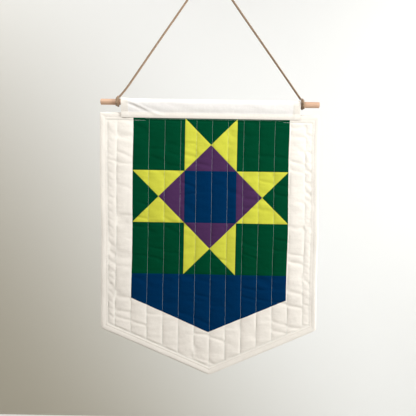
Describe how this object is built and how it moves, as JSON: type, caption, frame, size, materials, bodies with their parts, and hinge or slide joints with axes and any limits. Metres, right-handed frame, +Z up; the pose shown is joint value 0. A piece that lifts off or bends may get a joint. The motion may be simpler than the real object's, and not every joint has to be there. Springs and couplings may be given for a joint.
{
  "type": "quilted banner hanging from a dowel on a twine",
  "caption": "Small pointed wall quilt with a star of patches, bound edges and a cloth sleeve on a wooden dowel, hung by jute twine.",
  "frame": {"origin": "underside of the twine at its apex, where a nail or hook carries it", "axes": "+Z up, the banner's front faces -Y, +X to the right as seen from the front"},
  "size_m": [0.3566, 0.0176, 0.654],
  "materials": {
    "quilt_cloth": "cream, green, lime, purple and navy cotton patches, quilted",
    "binding_cloth": "cream cotton",
    "sleeve_cloth": "cream cotton",
    "dowel_wood": "bare sanded hardwood",
    "jute": "three-ply jute twine"
  },
  "bodies": {
    "root": {"quilt_body": "quilt_cloth", "binding": "binding_cloth", "sleeve": "sleeve_cloth", "dowel": "dowel_wood", "twine": "jute", "knot_left": "jute", "knot_right": "jute"}
  },
  "joints": []
}
